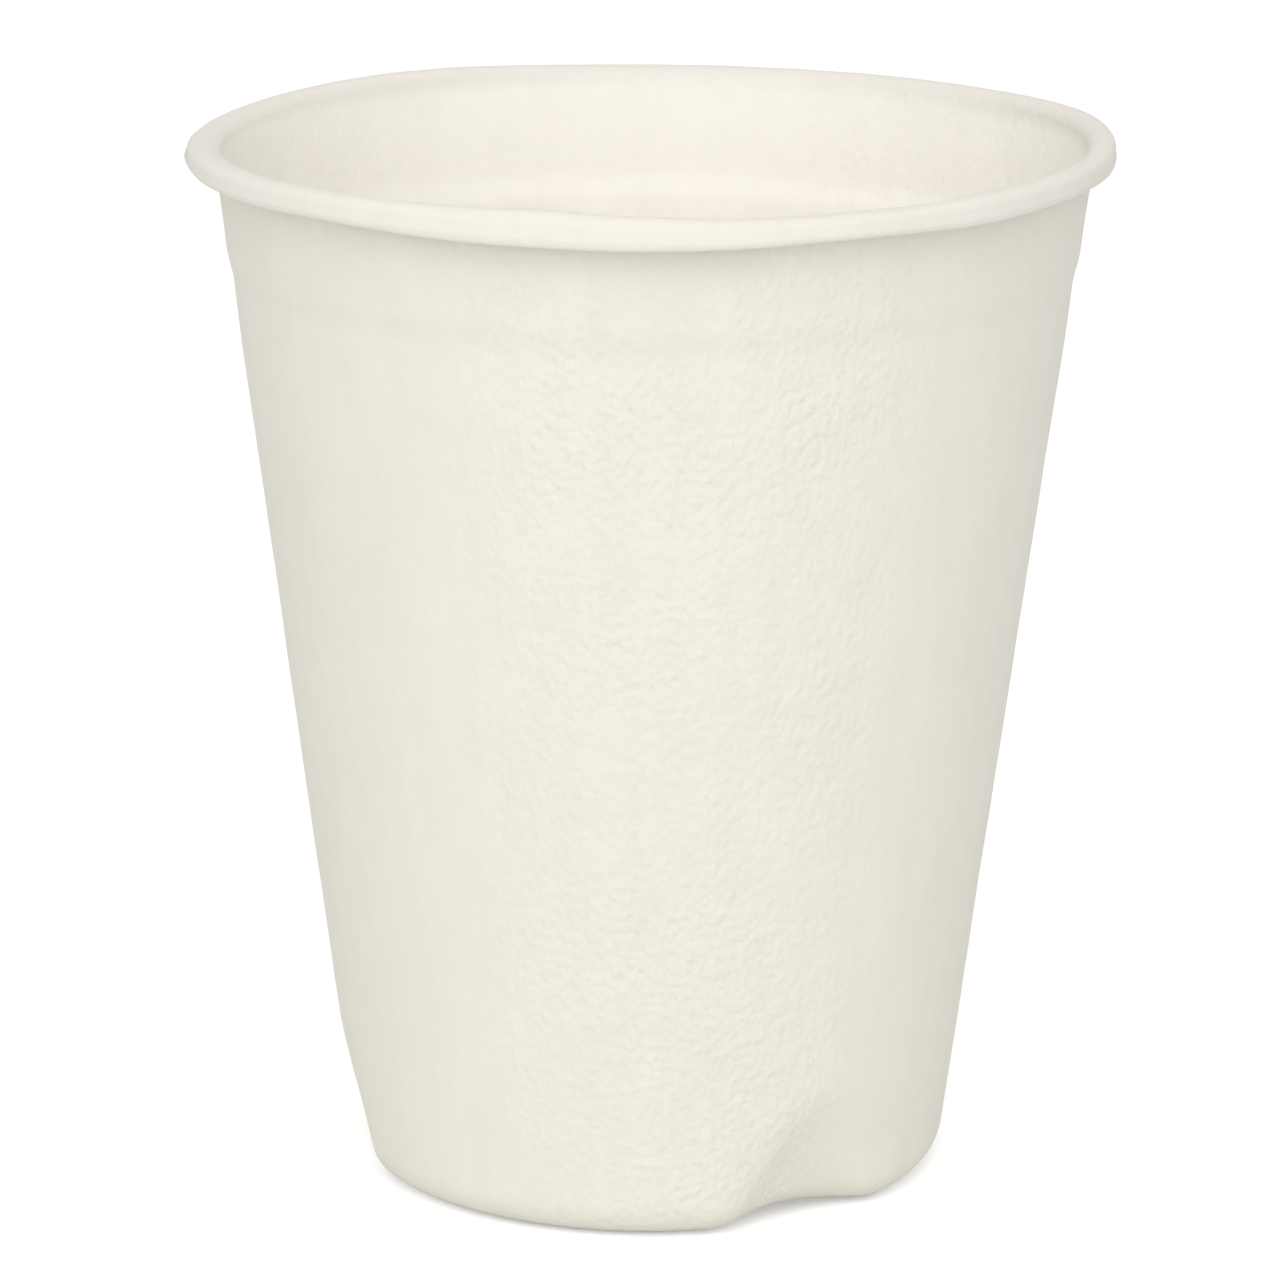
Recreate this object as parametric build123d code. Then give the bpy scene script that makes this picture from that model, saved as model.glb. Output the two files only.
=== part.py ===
from build123d import *
import os
from math import acos, atan, atan2, cos, degrees, hypot, sin, tan

# Moulded pulp cup, one piece of near-even wall. Sizes are in millimetres and angles in degrees.
# It stands on the XY plane with its axis on Z. A bearing is an angle round the axis,
# from the front of the cup at -Y towards +X.

# Whole cup
cup_height = 91.3
rim_diameter = 80.0
base_diameter = 51.4
wall = 0.8

# Corner between base and wall: rounded outside, bevelled inside
foot_corner_radius = 3.7
foot_corner_bevel = 2.0

# Lip rolled outwards and down at the mouth: inside radius of the roll, straight skirt below it
lip_roll_radius = 0.65
lip_skirt = 0.5

# Stacking shoulder, where the wall steps out on its way up to the lip
shoulder_below_rim = 11.0
shoulder_height = 1.6
shoulder_step = 0.25

# Scoops pressed into the foot, which keep stacked cups from jamming
notch_count = 3
notch_bearing = 33.5
notch_height = 11.5
notch_depth = 4.8
notch_radius = 11.5
notch_edge_radius = 3.8
notch_edge_bevel = 1.4

# Panel pressed up into the base, inside a flat ring that the cup stands on
standing_ring_width = 2.5
panel_slope_width = 2.5
panel_rise = 1.0

# Straight facets in each part of the lip's section
crown_facets = 3
edge_facets = 2
roll_facets = 3

# The lip is half a turn about this circle
lip_radius = lip_roll_radius + wall
lip_circle_radius = rim_diameter / 2 - lip_radius
lip_circle_height = cup_height - lip_radius

# The wall above the shoulder leans out from the foot until it touches the inside of the roll
wall_run = lip_circle_radius - base_diameter / 2 - shoulder_step
wall_taper = acos(lip_roll_radius / hypot(wall_run, lip_circle_height)) - atan2(lip_circle_height, wall_run)
wall_across = wall / cos(wall_taper)

shoulder_bottom = cup_height - shoulder_below_rim - shoulder_height / 2


def wall_radius(height):
    """Outside radius of the wall at a height below the shoulder."""
    return base_diameter / 2 + height * tan(wall_taper)


def revolved(points):
    """Solid made by turning a closed outline of radius and height about the axis."""
    return revolve(Plane.XZ * make_face(Polyline(*points, close=True)), Axis.Z)


def foot_form(inset):
    """Solid cone from the base to the shoulder, with its panel, inset from the outside."""
    slope = atan(panel_rise / panel_slope_width)
    notch_floor = base_diameter / 2 - notch_depth - foot_corner_radius
    slope_foot = notch_floor - standing_ring_width + inset * tan(slope / 2)
    wall_inset = inset / cos(wall_taper)
    return revolved([
        (0, panel_rise + inset),
        (slope_foot - panel_slope_width, panel_rise + inset),
        (slope_foot, inset),
        (wall_radius(inset) - wall_inset, inset),
        (wall_radius(shoulder_bottom) - wall_inset, shoulder_bottom),
        (0, shoulder_bottom),
    ])


def notch_bar(inset):
    """Round bar leaning outwards, which meets the wall at the top of a notch."""
    floor = wall_radius(0) - notch_depth
    lean = atan2(wall_radius(notch_height) - floor, notch_height)
    outwards = Vector(cos(lean), 0, -sin(lean))
    along = Vector(sin(lean), 0, cos(lean))
    centre = Vector(floor, 0, 0) + outwards * notch_radius
    return extrude(Plane(centre, outwards, along) * Circle(notch_radius + inset), cup_height, both=True)


def notched_form(inset):
    """The foot form with its notches scooped out and its corners still sharp."""
    form = foot_form(inset)
    pitch = 360 / notch_count
    for i in range(notch_count):
        form -= Rot(0, 0, pitch * (i + 0.5)) * notch_bar(inset)
    return form


def notch_edges(form):
    """Edges where the notches meet the wall."""
    return form.edges().filter_by(GeomType.BSPLINE)


def foot_edges(form):
    """Edges all round the ring at the bottom, notches included."""
    return form.faces().filter_by(Plane.XY).sort_by(Axis.Z)[0].outer_wire().edges()


def outside_form():
    """Outer surface of the cup below the shoulder, every corner of the foot rounded."""
    form = notched_form(0)
    form = form.fillet(notch_edge_radius, notch_edges(form))
    return form.fillet(foot_corner_radius, foot_edges(form))


def inside_form():
    """Inner surface of the cup below the shoulder, bevelled where the outside is rounded."""
    form = notched_form(wall)
    form = chamfer(notch_edges(form), notch_edge_bevel)
    return chamfer(foot_edges(form), foot_corner_bevel)


def facet_points(curve, count):
    """Points that divide a curve into a number of equal facets."""
    return [curve @ (i / count) for i in range(count + 1)]


def lip_band():
    """The wall from the shoulder up, with the lip rolled over at its top."""
    lip_centre = Vector(lip_circle_radius, lip_circle_height)
    towards_axis = Vector(-cos(wall_taper), sin(wall_taper))
    up_wall = Vector(sin(wall_taper), cos(wall_taper))
    rise = 90 - degrees(wall_taper)
    step = Vector(shoulder_step + shoulder_height * tan(wall_taper), shoulder_height)
    outer_foot = Vector(wall_radius(shoulder_bottom), shoulder_bottom)
    inner_foot = outer_foot - Vector(wall_across, 0)
    inner_crown = JernArc(lip_centre + towards_axis * lip_radius, up_wall, lip_radius, -rise)
    outer_crown = JernArc(inner_crown @ 1, (1, 0), lip_radius, -90)
    skirt = Vector(0, lip_skirt)
    edge = JernArc(outer_crown @ 1 - skirt, (0, -1), wall / 2, -180)
    roll = JernArc(edge @ 1 + skirt, (0, 1), lip_roll_radius, rise + 90)
    return revolved([
        inner_foot,
        inner_foot + step,
        *facet_points(inner_crown, crown_facets),
        *facet_points(outer_crown, crown_facets)[1:],
        *facet_points(edge, edge_facets),
        *facet_points(roll, roll_facets),
        outer_foot + step,
        outer_foot,
    ])


def build_cup():
    """Hollow foot and lip band in one, turned so that the first notch has its bearing."""
    cup = outside_form() - inside_form() + lip_band()
    return Rot(0, 0, notch_bearing - 90 - 180 / notch_count) * cup


os.makedirs("parts", exist_ok=True)
export_step(build_cup(), "parts/cup.step")
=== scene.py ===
from math import acos, atan2, cos, hypot, pi, radians, sin, tan, tau

import bpy
import numpy as np
from mathutils import Matrix, Vector, noise


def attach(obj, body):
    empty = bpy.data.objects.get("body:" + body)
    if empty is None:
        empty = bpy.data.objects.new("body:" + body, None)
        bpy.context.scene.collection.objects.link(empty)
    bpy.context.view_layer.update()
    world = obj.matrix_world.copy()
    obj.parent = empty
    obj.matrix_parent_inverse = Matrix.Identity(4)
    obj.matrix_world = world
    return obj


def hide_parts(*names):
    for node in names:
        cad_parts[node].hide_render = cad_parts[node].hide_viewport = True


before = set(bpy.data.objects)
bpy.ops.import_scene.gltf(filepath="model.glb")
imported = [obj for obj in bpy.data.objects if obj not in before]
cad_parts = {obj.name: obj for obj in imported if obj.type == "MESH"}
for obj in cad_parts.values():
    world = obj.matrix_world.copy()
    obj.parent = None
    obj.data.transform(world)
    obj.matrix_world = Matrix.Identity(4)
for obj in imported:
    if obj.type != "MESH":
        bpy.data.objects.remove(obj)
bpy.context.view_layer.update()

# The cup is one skin of moulded fibre pulp, drawn down onto a wire screen and pressed, with an
# even wall all round, also behind the three notches in its foot and up its faint shoulder.
# Sizes are in millimetres, and a bearing goes round the axis from the front towards +X.
cup_height = 91.3
rim_diameter = 80.0
base_diameter = 51.4
wall = 0.8
foot_corner_radius = 3.7

# Lip: half a turn outwards and down, then a skirt with a deep rounded edge. Its section is
# squarer than round where the squareness is under 1, and the flare draws its crown in.
lip_roll_radius = 0.65
lip_skirt = 0.5
lip_sag = 0.3
lip_edge_height = 0.85
lip_squareness = 0.85
lip_flare = 0.2

# Stacking shoulder, and the neck that narrows the wall slightly round it
shoulder_bottom = 79.0
shoulder_height = 2.8
shoulder_step = 0.3
neck_depth = 0.15
neck_start, neck_run_in = 72, 12
neck_end, neck_run_out = 85, 5

# Notches scooped out of the foot. Their edges get softer up the wall, and the foot's underside
# is lifted a little under each of them.
notch_count = 3
notch_bearing = radians(33.5)
notch_height = 12.0
notch_depth = 3.4
notch_radius = 20.0
notch_edge_radius = 4.6
notch_edge_growth = 4.2
notch_growth_start, notch_growth_run = 1, 7
notch_lift = 0.85
notch_lift_offset, notch_lift_width = 0.6, 6.0
notch_lift_start, notch_lift_run = 14, 6

# Panel pressed up into the base, inside the ring that the cup stands on
panel_edge = 14.7
panel_slope_width = 2.5
panel_rise = 1.0

lip_radius = lip_roll_radius + wall
lip_circle_radius = rim_diameter / 2 - lip_radius
lip_circle_height = cup_height - lip_radius
lip_bottom = lip_circle_height - lip_skirt - wall / 2 - lip_sag
wall_run = lip_circle_radius - base_diameter / 2 - shoulder_step
wall_span = hypot(wall_run, lip_circle_height)
wall_taper = acos(lip_roll_radius / wall_span) - atan2(lip_circle_height, wall_run)


def smooth(x):
    """Soft step from 0 to 1."""
    x = np.clip(x, 0, 1)
    return x * x * (3 - 2 * x)


def wall_radius(height):
    """Outside radius of the wall, with its shoulder and neck."""
    step = shoulder_step * smooth((height - shoulder_bottom) / shoulder_height)
    drawn_in = smooth((height - neck_start) / neck_run_in)
    let_out = smooth((height - neck_end) / neck_run_out)
    neck = neck_depth * (drawn_in - let_out)
    return base_diameter / 2 + height * tan(wall_taper) + step - neck


def base_height(radius):
    """Height of the outside of the base, where the panel is pressed up."""
    return panel_rise * smooth((panel_edge - radius) / panel_slope_width)


def rounded_edge(first, second, radius):
    """Depth and direction of two surfaces that meet in a rounded edge."""
    most_alike, least_square = 0.9999, 1e-12
    (depth_a, way_a), (depth_b, way_b) = first, second
    alike = np.minimum((way_a * way_b).sum(-1), most_alike)
    a, b = depth_a + radius, depth_b + radius
    share_a = (a - alike * b) / (1 - alike ** 2)
    share_b = (b - alike * a) / (1 - alike ** 2)
    in_corner = (share_a > 0) & (share_b > 0)
    reach = np.sqrt(np.maximum(share_a * a + share_b * b, least_square))
    corner_way = (share_a[..., None] * way_a + share_b[..., None] * way_b) / reach[..., None]
    depth = np.where(in_corner, reach - radius, np.maximum(depth_a, depth_b))
    nearer = np.where((depth_a > depth_b)[..., None], way_a, way_b)
    return depth, np.where(in_corner[..., None], corner_way, nearer)


def foot_depth(radius, bearing, height, inset):
    """How far a point of the foot lies outside the pulp's skin, or inside it where negative."""
    pitch = tau / notch_count
    turn = (bearing - notch_bearing + pitch / 2) % pitch - pitch / 2
    outwards_x, sideways = radius * np.cos(turn), radius * np.sin(turn)

    wall_depth = (radius - wall_radius(height)) * cos(wall_taper) + inset
    wall_way = np.stack([cos(wall_taper) * np.cos(turn), cos(wall_taper) * np.sin(turn),
                         np.full(turn.shape, -sin(wall_taper))], -1)

    floor_radius = base_diameter / 2 - notch_depth
    lean = atan2(wall_radius(notch_height) - floor_radius, notch_height)
    out = (outwards_x - floor_radius) * cos(lean) - height * sin(lean) - notch_radius
    scoop_reach = np.hypot(out, sideways)
    scoop_depth = notch_radius + inset - scoop_reach
    scoop_way = -np.stack([out * cos(lean), sideways, -out * sin(lean)], -1)
    scoop_way = scoop_way / scoop_reach[..., None]

    lift = notch_lift * np.exp(-((sideways + notch_lift_offset) / notch_lift_width) ** 2)
    lift = lift * smooth((outwards_x - notch_lift_start) / notch_lift_run)
    base_depth = base_height(radius) + lift + inset - height
    base_way = np.broadcast_to([0.0, 0.0, -1.0], wall_way.shape)

    growth = notch_edge_growth * smooth((height - notch_growth_start) / notch_growth_run)
    edge_radius = notch_edge_radius + growth - inset
    side = rounded_edge((wall_depth, wall_way), (scoop_depth, scoop_way), edge_radius)
    return rounded_edge(side, (base_depth, base_way), foot_corner_radius - inset)[0]


# The skin is a net of rings. The foot's rings are found along spokes that fan out from a
# circle inside the foot, up to the height where the wall is plain.
columns = 336
bearings = np.arange(columns) * tau / columns
hub_radius = 0.6
fan_radius, fan_height = 15.0, 8.0
foot_top = 16.0
spoke_length = 25.0
halvings = 30


def base_rows(inset, count):
    """Rings of the base, from its middle out to the ring that the cup stands on."""
    radius = np.linspace(hub_radius, fan_radius, count, endpoint=False)
    return [(np.full(columns, r), np.full(columns, base_height(r) + inset)) for r in radius]


def foot_rows(inset, count):
    """Rings of the foot's corner and notches, found by halving along spokes."""
    top_radius = wall_radius(foot_top) - inset / cos(wall_taper)
    top_angle = atan2(foot_top - fan_height, top_radius - fan_radius)
    angles = np.linspace(-pi / 2, top_angle, count, endpoint=False)[:, None]
    near, far = np.zeros((count, columns)), np.full((count, columns), spoke_length)
    for _ in range(halvings):
        middle = (near + far) / 2
        radius = fan_radius + middle * np.cos(angles)
        height = fan_height + middle * np.sin(angles)
        outside = foot_depth(radius, np.broadcast_to(bearings, radius.shape), height, inset) > 0
        near, far = np.where(outside, near, middle), np.where(outside, middle, far)
    return list(zip(fan_radius + near * np.cos(angles), fan_height + near * np.sin(angles)))


def wall_rows(inset, heights):
    """Plain rings up the wall."""
    across = inset / cos(wall_taper)
    return [(np.full(columns, wall_radius(h) - across), np.full(columns, h)) for h in heights]


def lip_rows(radius, height, across, up, start, end, count, power=1.0):
    """Rings along one arc of the lip's section, squarer than an ellipse where power is under 1."""
    rings = []
    for angle in np.radians(np.linspace(start, end, count)):
        out = across * np.sign(cos(angle)) * abs(cos(angle)) ** power
        rise = up * np.sign(sin(angle)) * abs(sin(angle)) ** power
        rings.append((np.full(columns, radius + out), np.full(columns, height + rise)))
    return rings


# Heights of the plain wall's rings, which lie closer together over the shoulder
shoulder_top = shoulder_bottom + shoulder_height
up_wall = np.concatenate([
    np.linspace(foot_top, shoulder_bottom - 1.0, 57),
    np.linspace(shoulder_bottom - 0.3, shoulder_top + 0.3, 11),
    np.linspace(shoulder_top + 1.2, lip_circle_height - 0.9, 7),
])
base_rings = 12
foot_rings_outside, foot_rings_inside = 48, 34

# The lip's section: the roll's underside, the edge's two corners, the crown and its inner side
lip_start = 180 - np.degrees(wall_taper)
lip_circle = lip_circle_radius, lip_circle_height
edge_circle = lip_circle_radius + lip_roll_radius + wall / 2, lip_bottom + lip_edge_height
edge = wall / 2, lip_edge_height
outer_rows = [
    *base_rows(0, base_rings),
    *foot_rows(0, foot_rings_outside),
    *wall_rows(0, up_wall),
    *lip_rows(*lip_circle, lip_roll_radius, lip_roll_radius, lip_start, 0, 8),
]
rim_rows = [
    *lip_rows(*edge_circle, *edge, 180, 270, 5),
    *lip_rows(*edge_circle, *edge, 270, 360, 7, lip_squareness)[1:],
    *lip_rows(*lip_circle, lip_radius - lip_flare, lip_radius, 0, 90, 12, lip_squareness),
    *lip_rows(*lip_circle, lip_radius, lip_radius, 90, lip_start, 8)[1:],
]
inner_rows = [
    *wall_rows(wall, up_wall[::-1]),
    *foot_rows(wall, foot_rings_inside)[::-1],
    *base_rows(wall, base_rings)[::-1],
]
rows = outer_rows + rim_rows + inner_rows
radius = np.array([r for r, _ in rows])
height = np.array([h for _, h in rows])

# The rim left the press a little uneven, in waves that grow from nothing up to the lip. A wave
# has a bearing and a spread in degrees, then how far the crown rises there, the edge below it
# rises, the outside reaches outwards and the edge is tucked in.
rim_waves = [
    (-92, 22, -0.45, 0.55, 0.40, 0.26),
    (-45, 10, 0.00, 0.35, 0.00, 0.00),
    (-30, 10, 0.15, 0.15, 0.00, 0.00),
    (-14, 6, 0.33, 0.05, 0.00, 0.00),
    (14, 9, -0.20, 0.05, 0.00, 0.00),
    (24, 9, 0.00, 0.40, 0.00, 0.00),
    (34, 7, -0.12, 0.10, 0.00, 0.10),
    (62, 16, 0.25, 0.75, 0.00, 0.27),
    (92, 14, 0.15, 0.55, -0.14, 0.40),
    (104, 13, 0.40, 0.30, 0.00, 0.00),
    (165, 18, -0.22, 0.00, 0.00, 0.00),
    (-168, 12, -0.20, 0.00, 0.00, 0.00),
    (-148, 16, 0.20, 0.20, 0.00, 0.00),
]
waves_start = 76
moves = np.zeros((4, columns))
for place, spread, *shares in rim_waves:
    off = (np.degrees(bearings) - place + 180) % 360 - 180
    moves += np.outer(shares, np.exp(-(off / spread) ** 2 / 2))
crown_rise, edge_rise, reach, tuck = moves
up_lip = np.clip((height - lip_bottom) / (cup_height - lip_bottom), 0, 1)
near_lip = smooth((height - waves_start) / (lip_bottom - waves_start))
reaching = reach * np.clip((radius - lip_circle_radius + 1) / (lip_radius + 1), 0, 1)
tucked = tuck * (1 - up_lip) * np.clip((radius - lip_circle_radius) / lip_radius, 0, 1)
radius += near_lip * (reaching - tucked)
height += near_lip * (edge_rise + (crown_rise - edge_rise) * up_lip)

# Pulp is never quite true: above the foot the wall wanders, and its skin is faintly lumpy
wander_depth, wander_scale, wander_start = 0.12, 0.035, Vector((3, 7, 1))
lump_depth, lump_scale, small_lump_scale = 0.035, 0.22, 0.5
true_height, loosening_run = 2, 8
points = np.stack([radius * np.sin(bearings), -radius * np.cos(bearings), height], -1)
ahead = np.roll(points, -1, 1) - np.roll(points, 1, 1)
along = np.gradient(points, axis=0)
normals = np.cross(ahead, along)
normals /= np.linalg.norm(normals, axis=-1, keepdims=True)
outwards = np.stack([np.sin(bearings), -np.cos(bearings), np.zeros(columns)], -1)


def wander(point):
    """Slow unevenness of the wall, from about -1 to 1."""
    return noise.noise(point * wander_scale + wander_start)


def lumps(point):
    """Faint lumps in the skin, large and small."""
    return noise.noise(point * lump_scale) + 0.5 * noise.noise(point * small_lump_scale)


def over_skin(pattern, depth):
    """How far a pattern moves each point of the skin, fading out towards the foot."""
    values = np.array([pattern(Vector(point)) for point in points.reshape(-1, 3)])
    loose = smooth((height - true_height) / loosening_run)
    return (depth * values.reshape(radius.shape) * loose)[..., None]


points += over_skin(wander, wander_depth) * outwards + over_skin(lumps, lump_depth) * normals

# Faces run ring to ring, with a fan of triangles at each end, in the middle of the base
outside_finish, inside_finish = 0, 1
vertices = [(0, 0, base_height(0)), *points.reshape(-1, 3), (0, 0, base_height(0) + wall)]
faces, finishes = [], []


def corner(row, column):
    """Number of the vertex at a ring and a column."""
    return 1 + row * columns + column % columns


last_row, last_vertex = len(rows) - 1, len(vertices) - 1
for row in range(last_row):
    for column in range(columns):
        faces.append((corner(row, column), corner(row, column + 1),
                      corner(row + 1, column + 1), corner(row + 1, column)))
        finishes.append(outside_finish if row < len(outer_rows) else inside_finish)
for column in range(columns):
    faces.append((0, corner(0, column + 1), corner(0, column)))
    finishes.append(outside_finish)
    faces.append((last_vertex, corner(last_row, column), corner(last_row, column + 1)))
    finishes.append(inside_finish)
mesh = bpy.data.meshes.new("cup_pulp")
mesh.from_pydata([Vector(vertex) / 1000 for vertex in vertices], [], faces)
mesh.polygons.foreach_set("material_index", finishes)

# A mask that passes the lip's colour, darkened as painted shade, into the inside's, lightened as
# painted light, over the inner side of the crown
passing_top, passing_run = lip_circle_height + 1.0, 1.4
past_skirt = np.arange(len(rows))[:, None] >= len(outer_rows)
crown_in = smooth((passing_top - height) / passing_run) * (radius < lip_circle_radius) * past_skirt
inwards = mesh.attributes.new("Inwards", "FLOAT", "POINT")
inwards.data.foreach_set("value", np.concatenate([[0.0], crown_in.ravel(), [1.0]]))
mesh.shade_smooth()
mesh.validate()
cup = bpy.data.objects.new("cup_pulp", mesh)
bpy.context.scene.collection.objects.link(cup)


def node(tree, kind, **settings):
    """A node with its settings, and plain values for its inputs by name."""
    made = tree.nodes.new(kind)
    for name, value in settings.items():
        if name == "inputs":
            for socket, given in value.items():
                made.inputs[socket].default_value = given
        else:
            setattr(made, name, value)
    return made


def new_group(name, inputs, outputs):
    """An empty node group with number sockets, and its two end nodes."""
    group = bpy.data.node_groups.new(name, "ShaderNodeTree")
    for socket, value in inputs.items():
        made = group.interface.new_socket(socket, in_out="INPUT", socket_type="NodeSocketFloat")
        made.default_value = value
    for socket in outputs:
        group.interface.new_socket(socket, in_out="OUTPUT", socket_type="NodeSocketFloat")
    return group, group.nodes.new("NodeGroupInput"), group.nodes.new("NodeGroupOutput")


# Short fibres in two directions, soft blotches and faint upright streaks left by the press
fibres, given, result = new_group(
    "Pulp fibres", {"Fibres per metre": 900.0}, ["Fibre", "Blotch", "Streak"])
link = fibres.links.new
place = node(fibres, "ShaderNodeTexCoord")
both = node(fibres, "ShaderNodeMath", operation="ADD")
strand_ways = (
    {"Scale": (1.0, 1.0, 0.28), "Rotation": (0.5, 0.7, 0.2)},
    {"Scale": (0.3, 1.0, 1.0), "Rotation": (0.3, -0.5, 0.9)},
)
for term, way in enumerate(strand_ways):
    stretch = node(fibres, "ShaderNodeMapping", inputs=way)
    strand = node(fibres, "ShaderNodeTexNoise",
                  inputs={"Detail": 3.0, "Roughness": 0.6, "Distortion": 0.6})
    link(place.outputs["Object"], stretch.inputs["Vector"])
    link(stretch.outputs["Vector"], strand.inputs["Vector"])
    link(given.outputs["Fibres per metre"], strand.inputs["Scale"])
    link(strand.outputs["Fac"], both.inputs[term])
half = node(fibres, "ShaderNodeMath", operation="MULTIPLY", inputs={1: 0.5})
blotch = node(fibres, "ShaderNodeTexNoise",
              inputs={"Scale": 150.0, "Detail": 3.0, "Roughness": 0.55})
draw = node(fibres, "ShaderNodeMapping", inputs={"Scale": (1.0, 1.0, 0.05)})
streak = node(fibres, "ShaderNodeTexNoise",
              inputs={"Scale": 420.0, "Detail": 2.0, "Roughness": 0.6})
link(both.outputs[0], half.inputs[0])
link(place.outputs["Object"], blotch.inputs["Vector"])
link(place.outputs["Object"], draw.inputs["Vector"])
link(draw.outputs["Vector"], streak.inputs["Vector"])
link(half.outputs[0], result.inputs["Fibre"])
link(blotch.outputs["Fac"], result.inputs["Blotch"])
link(streak.outputs["Fac"], result.inputs["Streak"])

# Dimples that the forming screen leaves in the pulp, from about -1 to 1. They show in three
# broad upright bands, one of them a little right of the front, and are fainter in patches.
bands, band_phase = 3.0, 4.45
screen, given, result = new_group("Screen marks", {"Marks per metre": 1300.0}, ["Mark"])
link = screen.links.new
place = node(screen, "ShaderNodeTexCoord")
stretch = node(screen, "ShaderNodeMapping", inputs={"Scale": (1.15, 1.15, 0.9)})
dimple = node(screen, "ShaderNodeTexNoise", inputs={"Detail": 0.8, "Roughness": 0.4})
swing = node(screen, "ShaderNodeMapRange", clamp=False,
             inputs={"From Min": 0.3, "From Max": 0.7, "To Min": -1.0, "To Max": 1.0})
split = node(screen, "ShaderNodeSeparateXYZ")
bearing = node(screen, "ShaderNodeMath", operation="ARCTAN2")
turns = node(screen, "ShaderNodeMath", operation="MULTIPLY_ADD", inputs={1: bands, 2: band_phase})
band = node(screen, "ShaderNodeMath", operation="COSINE")
banded = node(screen, "ShaderNodeMapRange", interpolation_type="SMOOTHSTEP",
              inputs={"From Min": -0.5, "From Max": 0.65, "To Min": 0.12, "To Max": 1.0})
patches = node(screen, "ShaderNodeTexNoise", inputs={"Scale": 60.0, "Detail": 2.0})
worn = node(screen, "ShaderNodeMapRange", inputs={"From Min": 0.3, "From Max": 0.6, "To Min": 0.5})
strength = node(screen, "ShaderNodeMath", operation="MULTIPLY")
shown = node(screen, "ShaderNodeMath", operation="MULTIPLY")
link(place.outputs["Object"], stretch.inputs["Vector"])
link(stretch.outputs["Vector"], dimple.inputs["Vector"])
link(given.outputs["Marks per metre"], dimple.inputs["Scale"])
link(dimple.outputs["Fac"], swing.inputs["Value"])
link(place.outputs["Object"], split.inputs["Vector"])
link(split.outputs["Y"], bearing.inputs[0])
link(split.outputs["X"], bearing.inputs[1])
link(bearing.outputs[0], turns.inputs[0])
link(turns.outputs[0], band.inputs[0])
link(band.outputs[0], banded.inputs["Value"])
link(place.outputs["Object"], patches.inputs["Vector"])
link(patches.outputs["Fac"], worn.inputs["Value"])
link(banded.outputs["Result"], strength.inputs[0])
link(worn.outputs["Result"], strength.inputs[1])
link(swing.outputs["Result"], shown.inputs[0])
link(strength.outputs[0], shown.inputs[1])
link(shown.outputs[0], result.inputs["Mark"])


def pulp(name, dark, light, roughness, fibre_depth, mark_depth, into=None):
    """Matt pulp with fibres and screen marks in its colour and relief, and painted shade where the
    marks dip, depths in millimetres.

    Where a second pair of colours is given, the first passes into it across the lip.
    """
    material = bpy.data.materials.new(name)
    material.use_nodes = True
    tree = material.node_tree
    link = tree.links.new
    skin = tree.nodes["Principled BSDF"]
    skin.inputs["Roughness"].default_value = roughness
    skin.inputs["Specular IOR Level"].default_value = 0.25
    grain = node(tree, "ShaderNodeGroup", node_tree=fibres)
    marks = node(tree, "ShaderNodeGroup", node_tree=screen)

    # Tone is a mix of the grain's three masks, made a little darker where the marks dip as painted
    # shade
    tone = None
    for output, share in (("Fibre", 0.4), ("Blotch", 0.3), ("Streak", 0.3)):
        added = node(tree, "ShaderNodeMath", operation="MULTIPLY_ADD", inputs={1: share, 2: 0.0})
        link(grain.outputs[output], added.inputs[0])
        if tone:
            link(tone.outputs[0], added.inputs[2])
        tone = added
    hollow_shade_share = 0.6 * mark_depth
    tone_with_hollow_shade = node(tree, "ShaderNodeMath", operation="MULTIPLY_ADD", inputs={1: hollow_shade_share})
    spread = node(tree, "ShaderNodeMapRange", inputs={"From Min": 0.32, "From Max": 0.68})
    colour = node(tree, "ShaderNodeMix", data_type="RGBA")
    colour.inputs["A"].default_value = (*dark, 1)
    colour.inputs["B"].default_value = (*light, 1)
    link(marks.outputs["Mark"], tone_with_hollow_shade.inputs[0])
    link(tone.outputs[0], tone_with_hollow_shade.inputs[2])
    link(tone_with_hollow_shade.outputs[0], spread.inputs["Value"])
    link(spread.outputs["Result"], colour.inputs["Factor"])
    if into:
        passing = node(tree, "ShaderNodeAttribute", attribute_name="Inwards")
        for socket, inner in zip("AB", into):
            pass_over = node(tree, "ShaderNodeMix", data_type="RGBA")
            pass_over.inputs["A"].default_value = colour.inputs[socket].default_value
            pass_over.inputs["B"].default_value = (*inner, 1)
            link(passing.outputs["Fac"], pass_over.inputs["Factor"])
            link(pass_over.outputs["Result"], colour.inputs[socket])
    link(colour.outputs["Result"], skin.inputs["Base Color"])

    dimples = node(tree, "ShaderNodeBump", inputs={"Strength": 1.0, "Distance": mark_depth / 1000})
    relief = node(tree, "ShaderNodeBump", inputs={"Strength": 1.0, "Distance": fibre_depth / 1000})
    link(marks.outputs["Mark"], dimples.inputs["Height"])
    link(grain.outputs["Fibre"], relief.inputs["Height"])
    link(dimples.outputs["Normal"], relief.inputs["Normal"])
    link(relief.outputs["Normal"], skin.inputs["Normal"])
    return material


outside_colours = (0.780, 0.756, 0.676), (0.828, 0.804, 0.726)
# The lip's colours are darker than the outside's: partly the lip's own warmer tint, partly painted
# shade on its crown and skirt.
lip_colours_tint_and_shade = (0.773, 0.740, 0.670), (0.810, 0.779, 0.710)
# The inside's colours are much lighter than the outside's as painted light, for light that falls
# into the cup.
inside_colours_painted_light = (0.918, 0.886, 0.816), (0.963, 0.932, 0.868)
mesh.materials.append(pulp("Pulp outside", *outside_colours,
                           roughness=0.9, fibre_depth=0.022, mark_depth=0.047))
mesh.materials.append(pulp("Pulp inside", *lip_colours_tint_and_shade,
                           roughness=0.85, fibre_depth=0.03, mark_depth=0.020, into=inside_colours_painted_light))
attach(cup, "root")
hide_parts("cup")


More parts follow.
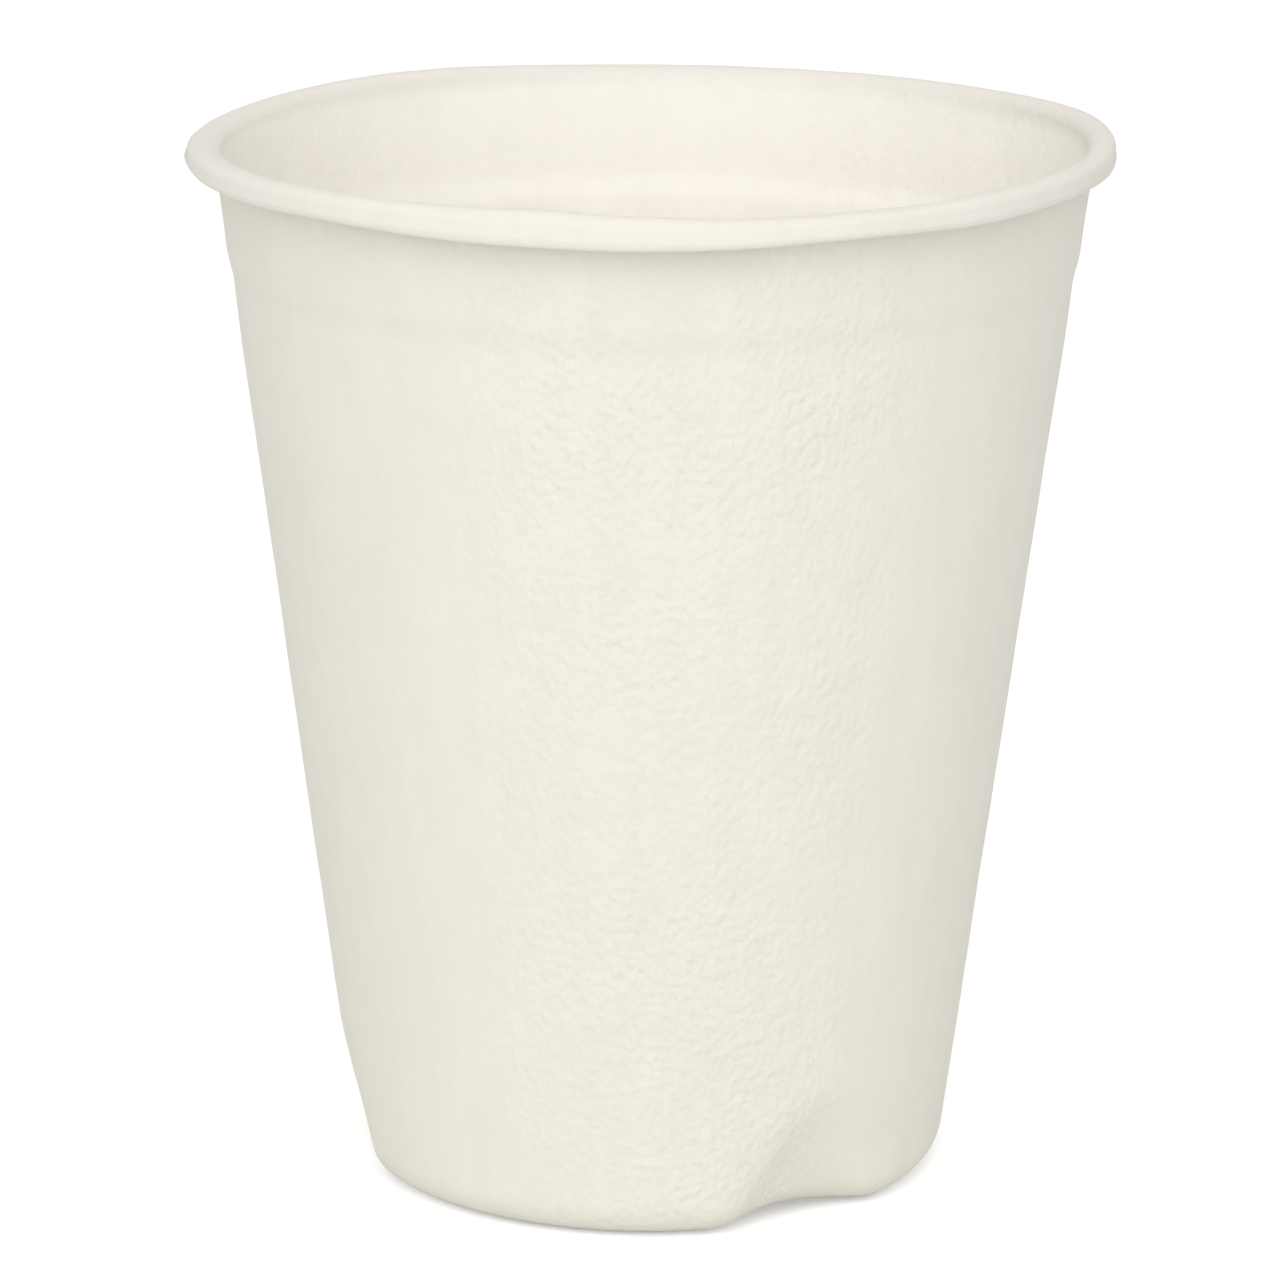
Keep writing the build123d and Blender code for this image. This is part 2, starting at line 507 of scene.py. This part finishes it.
# The floor is plain studio board, laid flat. It shows as white paper and keeps the cup's
# shadow: a faint glow lifts it to white only where it is seen, and lights nothing.
board_reach = 3.0
board_glow = 0.36
left, right, front, back = -board_reach, board_reach, -board_reach, board_reach
board_corners = [(left, front, 0), (right, front, 0), (right, back, 0), (left, back, 0)]
floor_mesh = bpy.data.meshes.new("floor")
floor_mesh.from_pydata(board_corners, [], [(0, 1, 2, 3)])
floor = bpy.data.objects.new("floor", floor_mesh)
bpy.context.scene.collection.objects.link(floor)


def seen_ray(tree):
    """Socket that is 1 for what the camera sees, also by reflection or through glass."""
    rays = node(tree, "ShaderNodeLightPath")
    seen = rays.outputs["Is Camera Ray"]
    for kind in ("Is Glossy Ray", "Is Transmission Ray"):
        either = node(tree, "ShaderNodeMath", operation="MAXIMUM")
        tree.links.new(seen, either.inputs[0])
        tree.links.new(rays.outputs[kind], either.inputs[1])
        seen = either.outputs[0]
    return seen


board = bpy.data.materials.new("Studio board")
board.use_nodes = True
tree = board.node_tree
paper = tree.nodes["Principled BSDF"]
paper.inputs["Base Color"].default_value = (0.88, 0.88, 0.88, 1)
paper.inputs["Roughness"].default_value = 1.0
paper.inputs["Specular IOR Level"].default_value = 0.0
lift = node(tree, "ShaderNodeMath", operation="MULTIPLY", inputs={1: board_glow})
glow = node(tree, "ShaderNodeEmission")
whole = node(tree, "ShaderNodeAddShader")
tree.links.new(seen_ray(tree), lift.inputs[0])
tree.links.new(lift.outputs[0], glow.inputs["Strength"])
tree.links.new(paper.outputs["BSDF"], whole.inputs[0])
tree.links.new(glow.outputs["Emission"], whole.inputs[1])
tree.links.new(whole.outputs["Shader"], tree.nodes["Material Output"].inputs["Surface"])
floor_mesh.materials.append(board)

# Light comes soft and nearly frontal: most from the room's pale walls, the rest from a wide
# panel a little to the left and a smaller one higher up, which reaches into the cup.
room_light = 0.67
world = bpy.data.worlds.new("Studio")
bpy.context.scene.world = world
world.use_nodes = True
tree = world.node_tree
room = tree.nodes["Background"]
room.inputs["Color"].default_value = (1, 1, 1, 1)
room.inputs["Strength"].default_value = room_light
backdrop = node(tree, "ShaderNodeBackground")
either = node(tree, "ShaderNodeMixShader")
tree.links.new(seen_ray(tree), either.inputs[0])
tree.links.new(room.outputs["Background"], either.inputs[1])
tree.links.new(backdrop.outputs["Background"], either.inputs[2])
tree.links.new(either.outputs["Shader"], tree.nodes["World Output"].inputs["Surface"])

panel_distance = 1.2
cup_middle = Vector((0, 0, 0.045))
for name, size, watts, azimuth, elevation in (
    ("front panel", (1.7, 0.9), 5.0, radians(-7), radians(32)),
    ("top panel", (0.8, 0.8), 3.4, 0.0, radians(56)),
):
    lamp = bpy.data.lights.new(name, "AREA")
    lamp.shape = "RECTANGLE"
    lamp.size, lamp.size_y = size
    lamp.energy = watts
    away = Vector((sin(azimuth) * cos(elevation), -cos(azimuth) * cos(elevation), sin(elevation)))
    panel = bpy.data.objects.new(name, lamp)
    panel.location = away * panel_distance + cup_middle
    panel.rotation_euler = away.to_track_quat("Z", "Y").to_euler()
    bpy.context.scene.collection.objects.link(panel)

# The camera stands in front and looks down a little into the cup, from far enough for a long
# lens to fill the frame with it. It is rolled very slightly, as the photograph's was.
camera_lens = 180.2
camera_lift, camera_distance, camera_roll = radians(14.40), 0.5608, radians(0.36)
camera_aim = Vector((-0.00094, 0, 0.04651))
camera = bpy.data.objects.new("camera", bpy.data.cameras.new("camera"))
camera.data.lens = camera_lens
back = Vector((0, -cos(camera_lift), sin(camera_lift)))
stand = Matrix.Translation(camera_aim + back * camera_distance)
tilt = Matrix.Rotation(pi / 2 - camera_lift, 4, "X")
roll = Matrix.Rotation(camera_roll, 4, "Z")
camera.matrix_world = stand @ tilt @ roll
bpy.context.scene.collection.objects.link(camera)
bpy.context.scene.camera = camera
bpy.context.scene.view_settings.view_transform = "Standard"
